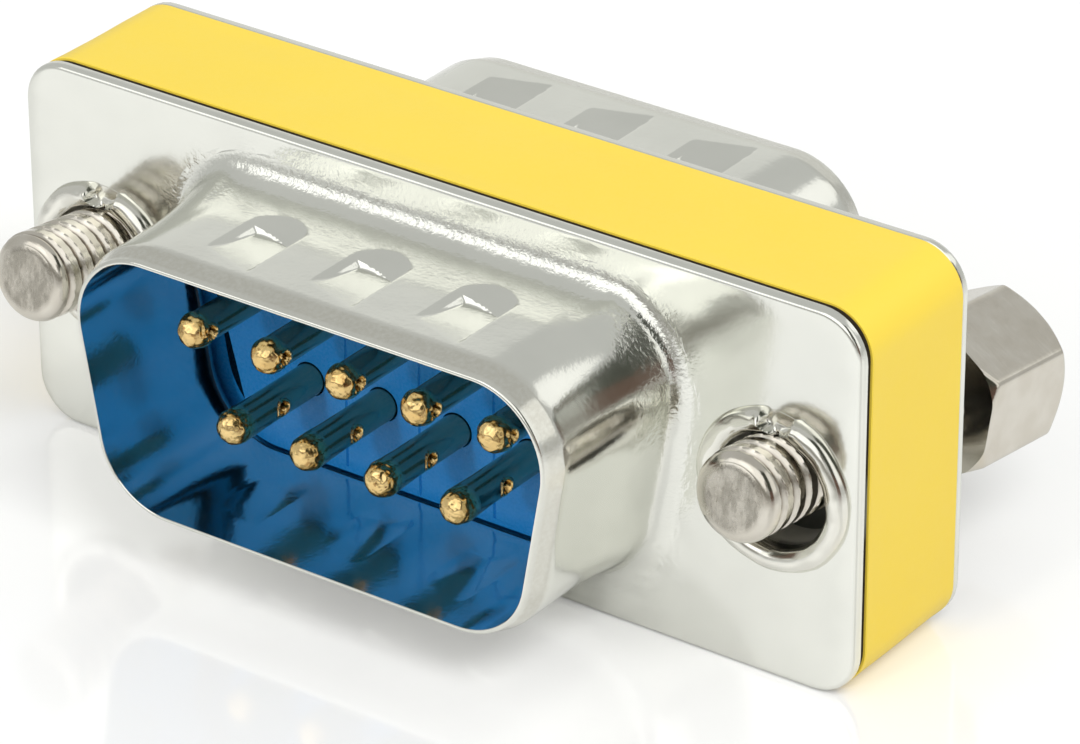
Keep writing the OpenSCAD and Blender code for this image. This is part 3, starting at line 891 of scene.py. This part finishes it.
def label():
    """The band round the spacer, slightly slack on its sides, with its seam underneath."""
    pts = [(c + FLANGE_R * n, d + FLANGE_R * m, n, m) for c, d, n, m in stations(F_CORNERS, 14, evenly(60, 18))]
    # open the loop at the seam
    under = [i for i, p in enumerate(pts) if p[3] < -0.99]
    seam = min(under, key=lambda i: abs(pts[i][0] - SEAM_X))
    pts = pts[seam + 1:] + pts[:seam]
    right, left = SEAM_X + SEAM_W / 2, SEAM_X - SEAM_W / 2
    pts = [(right, -FLANGE_H / 2, 0, -1)] + pts + [(left, -FLANGE_H / 2, 0, -1)]
    y0, y1 = -SHEET - 0.25, -2 * HALF + SHEET
    rows = [(0.1, y0), (0.03, y0), (0.0, y0 - 0.03)]
    rows += [(0.0, y0 - 0.03 + (y1 - y0 + 0.06) * i / 24) for i in range(1, 24)]
    rows += [(0.0, y1 + 0.03), (0.03, y1), (0.1, y1)]
    verts, faces = [], []
    for inset, h in rows:
        mid = smooth(0.0, 0.6, min(y0 - h, h - y1))
        for x, y, nx, ny in pts:
            slack = 0.5 + noise.noise(Vector((x * 0.3, y * 0.3, h * 0.5))) if ny >= -0.9 else 0
            r = -inset - 0.03 * mid * slack
            verts.append((x + r * nx, y + r * ny, h))
    n = len(pts)
    strips(faces, 0, len(rows), n, closed=False)
    strip(faces, (len(rows) - 1) * n, 0, n, closed=False)
    for e in (0, n - 1):
        faces.append(tuple(i * n + e for i in range(len(rows))))
    piece("label_sheet", verts, faces, LABEL, "connector", ("label_band",), front, 40, merge=False)


label()


# ---------------------------------------------------------------- carried-over nodes

for name, mat in (("spacer_frame", BLACK),
                  ("left_retaining_ring", SCREW), ("right_retaining_ring", SCREW)):
    obj = frame["nodes"][name]
    obj.data.materials.clear()
    obj.data.materials.append(mat)


# ---------------------------------------------------------------- camera

def camera():
    data = bpy.data.cameras.new("camera")
    data.sensor_width = 36
    data.lens = 196.06
    data.clip_start = 0.01
    data.clip_end = 50
    cam = bpy.data.objects.new("camera", data)
    bpy.context.scene.collection.objects.link(cam)
    right, up, back = (0.8119, 0.5838, -0.0035), (-0.2747, 0.3873, 0.8801), (0.5152, -0.7135, 0.4748)
    turn = Matrix((right, up, back)).transposed().to_4x4()
    cam.matrix_world = Matrix.Translation(Vector((93.59, -126.70, 89.925)) * MM) @ turn
    bpy.context.scene.camera = cam


camera()


# ---------------------------------------------------------------- floor, world and lights

def floor():
    """A pale, slightly glossy floor that the camera sees a little brighter, so that it passes into white."""
    m, t, p = material("studio_floor")
    p.inputs["Base Color"].default_value = (0.88, 0.88, 0.88, 1)
    p.inputs["Roughness"].default_value = 0.10
    p.inputs["IOR"].default_value = 2.1
    glow = node(t, "ShaderNodeEmission", Color=(0.165, 0.165, 0.165, 1), Strength=1.0)
    none = node(t, "ShaderNodeEmission", Strength=0.0)
    pick = node(t, "ShaderNodeMixShader")
    add = node(t, "ShaderNodeAddShader")
    t.links.new(node(t, "ShaderNodeLightPath").outputs["Is Camera Ray"], pick.inputs[0])
    t.links.new(none.outputs[0], pick.inputs[1])
    t.links.new(glow.outputs[0], pick.inputs[2])
    t.links.new(p.outputs[0], add.inputs[0])
    t.links.new(pick.outputs[0], add.inputs[1])
    t.links.new(add.outputs[0], t.nodes["Material Output"].inputs["Surface"])
    mesh = bpy.data.meshes.new("studio_floor")
    s, z = 4.0, -0.00002
    mesh.from_pydata([(-s, -s, z), (s, -s, z), (s, s, z), (-s, s, z)], [], [(0, 1, 2, 3)])
    mesh.materials.append(m)
    obj = bpy.data.objects.new("studio_floor", mesh)
    bpy.context.scene.collection.objects.link(obj)


floor()


def heading(az, el):
    """Direction from an azimuth (0 at the front, growing to the right) and an elevation, in degrees."""
    a, e = math.radians(az), math.radians(el)
    return Vector((math.sin(a) * math.cos(e), -math.cos(a) * math.cos(e), math.sin(e)))


def world():
    """A grey room seen by direction: soft boxes in front and at the right, a bright backdrop low at the rear
    left, and dark screens at the camera and to the right of it."""
    w = bpy.data.worlds.new("studio")
    bpy.context.scene.world = w
    w.use_nodes = True
    t = w.node_tree
    t.nodes.clear()
    out = node(t, "ShaderNodeOutputWorld")
    bg = node(t, "ShaderNodeBackground", Strength=1.0)
    t.links.new(bg.outputs[0], out.inputs[0])
    norm = node(t, "ShaderNodeVectorMath", operation="NORMALIZE")
    t.links.new(node(t, "ShaderNodeTexCoord").outputs["Generated"], norm.inputs[0])

    def along(v):
        dot = node(t, "ShaderNodeVectorMath", operation="DOT_PRODUCT")
        t.links.new(norm.outputs["Vector"], dot.inputs[0])
        dot.inputs[1].default_value = v
        return dot.outputs["Value"]

    def lobe(az, el, inner, outer):
        """A disc that fades from the inner to the outer radius, in degrees."""
        lo, hi = math.cos(math.radians(outer)), math.cos(math.radians(inner))
        return remap(t, along(heading(az, el)), lo, hi, 0.0, 1.0, soft=True)

    def card(az, el, half_w, half_h, edge):
        """A rectangle of half sizes in degrees, faded over the edge."""
        f = heading(az, el)
        r = Vector((math.cos(math.radians(az)), math.sin(math.radians(az)), 0))
        ahead = along(f)
        safe = math_of(t, "MAXIMUM", ahead, 0.001)
        mask = remap(t, ahead, 0.0, 0.05, 0.0, 1.0)
        for v, half in ((r, half_w), (r.cross(f), half_h)):
            off = math_of(t, "ABSOLUTE", math_of(t, "DIVIDE", along(v), safe))
            lo, hi = math.tan(math.radians(half)), math.tan(math.radians(half + edge))
            mask = times(t, mask, remap(t, off, lo, hi, 1.0, 0.0, soft=True))
        return mask

    value = (0.57, 0.575, 0.56)
    sky = [
        (card(-152, 10, 28, 18, 4), (0.75, 0.755, 0.73)),
        (card(152, 32, 9, 9, 4), (1.1, 1.1, 1.07)),
        (card(86, 34, 24, 20, 5), (1.05, 1.05, 1.02)),
        (card(8, -2, 32, 9, 8), (0.30, 0.29, 0.265)),
        (card(-7, 29, 34, 13, 2), (1.35, 1.35, 1.33)),
        (card(6, 42, 24, 12, 5), (1.30, 1.30, 1.28)),
        (lobe(-16, 33, 7, 14), (1.8, 1.8, 1.77)),
        (card(57, 46, 11, 12, 3), (0.05, 0.055, 0.043)),
        (card(59, 25, 11, 12, 3), (0.055, 0.06, 0.048)),
        (card(60, 3, 11, 12, 4), (0.14, 0.085, 0.065)),
        (lobe(38, 26, 3, 7), (0.12, 0.10, 0.08)),
    ]
    for mask, c in sky:
        value = mix_colour(t, mask, value, c)
    t.links.new(value, bg.inputs["Color"])


world()


def area(name, at, to, size, power):
    """An area light that lights plastic and floor, but isn't mirrored in metal: the world is there for that."""
    d = bpy.data.lights.new(name, "AREA")
    d.shape = "RECTANGLE"
    d.size, d.size_y = size
    d.energy = power
    o = bpy.data.objects.new(name, d)
    bpy.context.scene.collection.objects.link(o)
    o.location = at
    o.rotation_euler = (Vector(to) - Vector(at)).to_track_quat("-Z", "Y").to_euler()
    o.visible_glossy = False


area("key", (0.30, -0.16, 0.40), (0, 0, 0), (0.26, 0.20), 1.35)
area("fill", (-0.02, -0.42, 0.16), (0, 0, 0.006), (0.03, 0.03), 0.28)

scene = bpy.context.scene
scene.view_settings.view_transform = "Standard"
